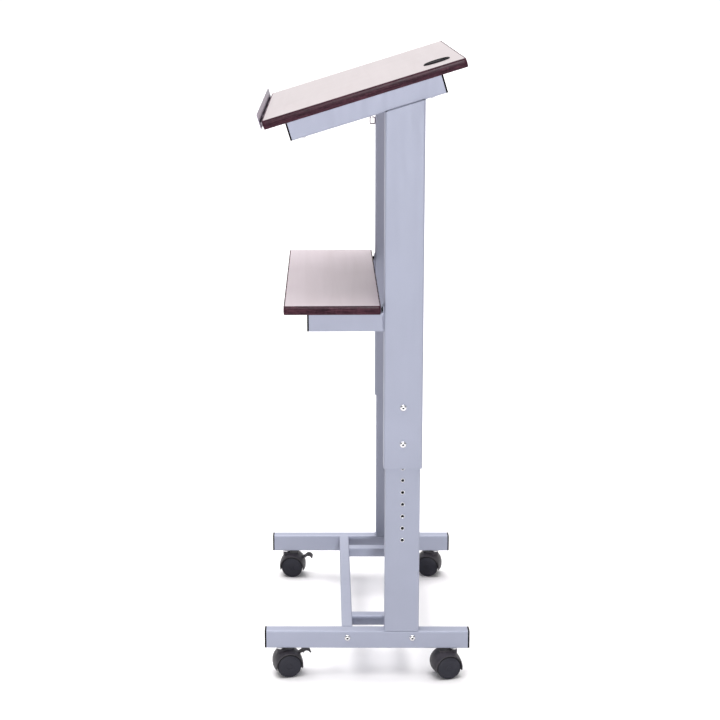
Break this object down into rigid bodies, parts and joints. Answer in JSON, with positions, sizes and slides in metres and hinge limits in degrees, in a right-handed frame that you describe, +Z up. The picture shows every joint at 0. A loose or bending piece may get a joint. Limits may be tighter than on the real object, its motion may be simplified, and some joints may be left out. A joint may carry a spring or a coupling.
{
  "type": "lectern podium",
  "caption": "Height-adjustable mobile lectern: sloped desktop with book stop over a shelf, on telescoping steel columns, with feet on twin-wheel casters.",
  "frame": {"origin": "on the floor, at the middle of the lectern's footprint", "axes": "+X to the speaker's right, +Y away from the speaker, towards the raised edge of the desktop, +Z up"},
  "size_m": [0.6, 0.4209, 1.2648],
  "materials": {
    "frame_paint": "satin silver powder coat",
    "laminate": "pale satin laminate on particle board",
    "edge_moulding": "dark walnut-red moulded edge band",
    "cap_plastic": "black moulded plastic",
    "stop_metal": "satin anodised",
    "bright_steel": "bright zinc",
    "black_steel": "black oxide",
    "plain_steel": "plain zinc-plated steel",
    "natural_nylon": "natural white nylon",
    "caster_plastic": "black moulded nylon",
    "wheel_nylon": "dark grey-black moulded nylon"
  },
  "bodies": {
    "base": {"foot_tube_left": "frame_paint", "foot_tube_right": "frame_paint", "foot_end_caps": "cap_plastic", "base_crossbar_front": "frame_paint", "base_crossbar_rear": "frame_paint", "base_tie_left": "frame_paint", "base_tie_right": "frame_paint", "crossbar_bolts": "bright_steel", "crossbar_plugs": "plain_steel", "lower_column_left": "frame_paint", "lower_column_right": "frame_paint", "lower_column_plugs": "natural_nylon", "height_inserts": "bright_steel", "caster_sockets": "plain_steel", "caster_stems": "bright_steel"},
    "upper_frame": {"upper_column_left": "frame_paint", "upper_column_right": "frame_paint", "column_glides": "natural_nylon", "height_screws": "bright_steel", "top_bracket_left": "frame_paint", "top_bracket_right": "frame_paint", "top_bracket_caps": "cap_plastic", "desktop_board": "laminate", "desktop_edge_band": "edge_moulding", "desktop_screws": "bright_steel", "book_stop": "stop_metal", "book_stop_spacers": "natural_nylon", "book_stop_screws": "bright_steel", "grommet_ring": "cap_plastic", "shelf_board": "laminate", "shelf_edge_band": "edge_moulding", "shelf_bracket_left": "frame_paint", "shelf_bracket_right": "frame_paint", "shelf_bracket_caps": "cap_plastic", "shelf_bracket_bolts": "black_steel", "shelf_screws": "bright_steel", "cable_clip": "natural_nylon"},
    "grommet_cap": {"grommet_cap": "cap_plastic"},
    "caster_front_left": {"caster_hood_front_left": "caster_plastic", "caster_axle_front_left": "plain_steel"},
    "wheel_front_left_outer": {"caster_wheel_front_left_outer": "wheel_nylon"},
    "wheel_front_left_inner": {"caster_wheel_front_left_inner": "wheel_nylon"},
    "brake_front_left": {"brake_lever_front_left": "caster_plastic"},
    "caster_front_right": {"caster_hood_front_right": "caster_plastic", "caster_axle_front_right": "plain_steel"},
    "wheel_front_right_outer": {"caster_wheel_front_right_outer": "wheel_nylon"},
    "wheel_front_right_inner": {"caster_wheel_front_right_inner": "wheel_nylon"},
    "brake_front_right": {"brake_lever_front_right": "caster_plastic"},
    "caster_rear_left": {"caster_hood_rear_left": "caster_plastic", "caster_axle_rear_left": "plain_steel"},
    "wheel_rear_left_outer": {"caster_wheel_rear_left_outer": "wheel_nylon"},
    "wheel_rear_left_inner": {"caster_wheel_rear_left_inner": "wheel_nylon"},
    "caster_rear_right": {"caster_hood_rear_right": "caster_plastic", "caster_axle_rear_right": "plain_steel"},
    "wheel_rear_right_outer": {"caster_wheel_rear_right_outer": "wheel_nylon"},
    "wheel_rear_right_inner": {"caster_wheel_rear_right_inner": "wheel_nylon"}
  },
  "joints": [
    {"name": "height_slide", "type": "slide", "parent": "base", "child": "upper_frame", "axis": [0, 0, 1], "range_m": [-0.2032, 0.0508]},
    {"name": "grommet_cap_turn", "type": "hinge", "parent": "upper_frame", "child": "grommet_cap", "pos_m": [0.196, 0.13442, 1.25095], "axis": [0, -0.289, 0.9573], "continuous": true},
    {"name": "swivel_front_left", "type": "hinge", "parent": "base", "child": "caster_front_left", "pos_m": [-0.257, -0.178, 0.04], "axis": [0, 0, 1], "continuous": true},
    {"name": "wheel_spin_front_left_outer", "type": "hinge", "parent": "caster_front_left", "child": "wheel_front_left_outer", "pos_m": [-0.25569, -0.16306, 0.025], "axis": [-0.9962, 0.0872, 0], "continuous": true},
    {"name": "wheel_spin_front_left_inner", "type": "hinge", "parent": "caster_front_left", "child": "wheel_front_left_inner", "pos_m": [-0.25569, -0.16306, 0.025], "axis": [-0.9962, 0.0872, 0], "continuous": true},
    {"name": "brake_pedal_front_left", "type": "hinge", "parent": "caster_front_left", "child": "brake_front_left", "pos_m": [-0.25404, -0.14413, 0.042], "axis": [-0.9962, 0.0872, 0], "range_deg": [0, 15]},
    {"name": "swivel_front_right", "type": "hinge", "parent": "base", "child": "caster_front_right", "pos_m": [0.257, -0.178, 0.04], "axis": [0, 0, 1], "continuous": true},
    {"name": "wheel_spin_front_right_outer", "type": "hinge", "parent": "caster_front_right", "child": "wheel_front_right_outer", "pos_m": [0.25388, -0.16333, 0.025], "axis": [-0.9781, -0.2079, 0], "continuous": true},
    {"name": "wheel_spin_front_right_inner", "type": "hinge", "parent": "caster_front_right", "child": "wheel_front_right_inner", "pos_m": [0.25388, -0.16333, 0.025], "axis": [-0.9781, -0.2079, 0], "continuous": true},
    {"name": "brake_pedal_front_right", "type": "hinge", "parent": "caster_front_right", "child": "brake_front_right", "pos_m": [0.24993, -0.14474, 0.042], "axis": [-0.9781, -0.2079, 0], "range_deg": [0, 15]},
    {"name": "swivel_rear_left", "type": "hinge", "parent": "base", "child": "caster_rear_left", "pos_m": [-0.257, 0.178, 0.04], "axis": [0, 0, 1], "continuous": true},
    {"name": "wheel_spin_rear_left_outer", "type": "hinge", "parent": "caster_rear_left", "child": "wheel_rear_left_outer", "pos_m": [-0.26012, 0.16333, 0.025], "axis": [0.9781, -0.2079, 0], "continuous": true},
    {"name": "wheel_spin_rear_left_inner", "type": "hinge", "parent": "caster_rear_left", "child": "wheel_rear_left_inner", "pos_m": [-0.26012, 0.16333, 0.025], "axis": [0.9781, -0.2079, 0], "continuous": true},
    {"name": "swivel_rear_right", "type": "hinge", "parent": "base", "child": "caster_rear_right", "pos_m": [0.257, 0.178, 0.04], "axis": [0, 0, 1], "continuous": true},
    {"name": "wheel_spin_rear_right_outer", "type": "hinge", "parent": "caster_rear_right", "child": "wheel_rear_right_outer", "pos_m": [0.26037, 0.16338, 0.025], "axis": [0.9744, 0.225, 0], "continuous": true},
    {"name": "wheel_spin_rear_right_inner", "type": "hinge", "parent": "caster_rear_right", "child": "wheel_rear_right_inner", "pos_m": [0.26037, 0.16338, 0.025], "axis": [0.9744, 0.225, 0], "continuous": true}
  ]
}
